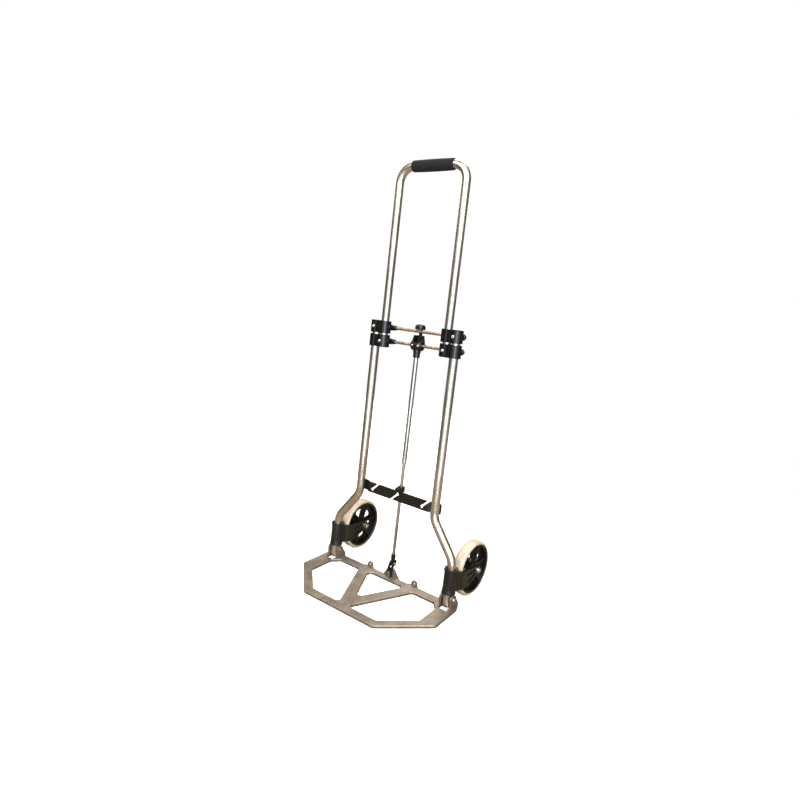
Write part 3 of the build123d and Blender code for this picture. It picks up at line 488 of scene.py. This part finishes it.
# Cream rubber is smooth and faintly mottled. Its skin is finer than
# 0.1 mm. It is drawn at 0.9 mm so that it shows.
mottle_mm = 11.0
skin_mm = 0.9
skin_depth_mm = 0.03
cream_rubber, tree, shader, _ = mottled_finish("cream_thermoplastic_rubber", {
    "IOR": 1.52, "Subsurface Weight": 0.15, "Subsurface Scale": 0.003,
}, mottle_mm, 4.0, "bca78f", "d2c0aa", 0.46, 0.6)
skin = add_node(tree, "ShaderNodeTexNoise", {
    "Vector": add_node(tree, "ShaderNodeTexCoord", out="Object"),
    "Scale": 1000 / skin_mm, "Detail": 2.0, "Roughness": 0.55,
})
raised = add_node(tree, "ShaderNodeBump", {
    "Height": skin, "Distance": skin_depth_mm / 1000, "Strength": 1.0,
})
tree.links.new(raised, shader.inputs["Normal"])
give(cream_rubber, *sides("tyre"))

# ---- floor --------------------------------------------------------------------------------------
# A plain white floor of matt paint. What the metal mirrors of it is brown, as a boarded floor is,
# so that bare tubes keep warm feet.
floor_half = 1.6
floor_mesh = bpy.data.meshes.new("floor")
corners = [(-floor_half, -floor_half, 0), (floor_half, -floor_half, 0),
           (floor_half, floor_half, 0), (-floor_half, floor_half, 0)]
floor_mesh.from_pydata(corners, [], [(0, 1, 2, 3)])
floor = bpy.data.objects.new("floor", floor_mesh)
floor.location = (0, 0, cad_low.z)
bpy.context.scene.collection.objects.link(floor)
floor_paint = bpy.data.materials.new("pale_floor")
floor_paint.use_nodes = True
tree = floor_paint.node_tree
tree.nodes.remove(tree.nodes["Principled BSDF"])
seen = add_node(tree, "ShaderNodeLightPath", out="Is Camera Ray")
paint = add_node(tree, "ShaderNodeBsdfDiffuse", {"Color": linear("f4f3f1")})
lift = add_node(tree, "ShaderNodeEmission", {"Color": linear("ffffff"), "Strength": 0.6})
white = add_node(tree, "ShaderNodeAddShader", {0: paint, 1: lift})
boards = add_node(tree, "ShaderNodeBsdfDiffuse", {"Color": linear("8c7a66")})
mixed = add_node(tree, "ShaderNodeMixShader", {"Fac": seen, 1: boards, 2: white})
tree.links.new(mixed, tree.nodes["Material Output"].inputs["Surface"])
floor_mesh.materials.append(floor_paint)

# ---- room, lamps and camera ---------------------------------------------------------------------
# The cart stands in a white studio. What the metal mirrors of it is a room, grey below and warm
# above, with one pale side and one tall bright window that draws a line down every round part.
window_way = (0.64, -0.768, 0.0)
room = bpy.data.worlds.new("room")
room.use_nodes = True
tree = room.node_tree
direction = add_node(tree, "ShaderNodeTexCoord", out="Generated")
level = add_node(tree, "ShaderNodeVectorMath", {0: direction, 1: (1.0, 1.0, 0.0)}, operation="MULTIPLY")
bearing = add_node(tree, "ShaderNodeVectorMath", {0: level}, operation="NORMALIZE")
towards_window = add_node(tree, "ShaderNodeVectorMath", {
    0: bearing, 1: window_way,
}, out="Value", operation="DOT_PRODUCT")
pale_share = add_node(tree, "ShaderNodeMapRange", {
    "Value": towards_window, "From Min": 0.45, "From Max": 0.93,
}, interpolation_type="SMOOTHSTEP")
height = add_node(tree, "ShaderNodeSeparateXYZ", {"Vector": direction}, out="Z")
upper_share = add_node(tree, "ShaderNodeMapRange", {"Value": height, "From Min": 0.0, "From Max": 0.45})
walls = add_node(tree, "ShaderNodeMixRGB", {
    "Fac": upper_share, "Color1": linear("605e5d"), "Color2": linear("9c8258"),
})
with_pale_side = add_node(tree, "ShaderNodeMixRGB", {
    "Fac": pale_share, "Color1": walls, "Color2": linear("f6faff", 1.36),
})
pane_share = add_node(tree, "ShaderNodeMapRange", {
    "Value": towards_window, "From Min": 0.972, "From Max": 0.988,
})
with_pane = add_node(tree, "ShaderNodeMixRGB", {
    "Fac": pane_share, "Color1": with_pale_side, "Color2": linear("e4f0ff", 7.2),
})
seen = add_node(tree, "ShaderNodeLightPath", out="Is Camera Ray")
white_or_room = add_node(tree, "ShaderNodeMixRGB", {
    "Fac": seen, "Color1": with_pane, "Color2": linear("ffffff"),
})
tree.links.new(white_or_room, tree.nodes["Background"].inputs["Color"])
bpy.context.scene.world = room


def direction_from(azimuth, elevation):
    """Unit vector from the object towards a viewer at this azimuth and elevation, in degrees."""
    a, e = math.radians(azimuth), math.radians(elevation)
    return Vector((math.sin(a) * math.cos(e), -math.cos(a) * math.cos(e), math.sin(e)))


middle = (cad_low + cad_high) / 2
for name, azimuth, elevation, distance, size, watts in (
    ("key_light", 66, 38, 2.4, 1.1, 34),
    ("fill_light", -18, 44, 2.6, 1.6, 34),
    ("back_light", 205, 48, 2.4, 1.4, 36),
):
    lamp = bpy.data.lights.new(name, "AREA")
    lamp.shape = "SQUARE"
    lamp.size = size
    lamp.energy = watts
    light = bpy.data.objects.new(name, lamp)
    towards = direction_from(azimuth, elevation)
    light.location = middle + towards * distance
    light.rotation_euler = towards.to_track_quat("Z", "Y").to_euler()
    bpy.context.scene.collection.objects.link(light)

camera_data = bpy.data.cameras.new("camera")
camera_data.sensor_width = 36.0
camera_data.lens = 27.6
camera = bpy.data.objects.new("camera", camera_data)
camera_azimuth, camera_elevation = 37.57, 12.94
camera_roll = 3.01
camera_distance = 1.49281
aim = Vector((0.00836, 0.01487, 0.48506))
back = direction_from(camera_azimuth, camera_elevation)
right = Vector((0, 0, 1)).cross(back).normalized()
upright = Matrix((right, back.cross(right), back)).transposed()
roll = Matrix.Rotation(math.radians(camera_roll), 3, "Z")
camera.matrix_world = Matrix.Translation(aim + back * camera_distance) @ (upright @ roll).to_4x4()
bpy.context.scene.collection.objects.link(camera)
bpy.context.scene.camera = camera
bpy.context.scene.view_settings.view_transform = "Standard"
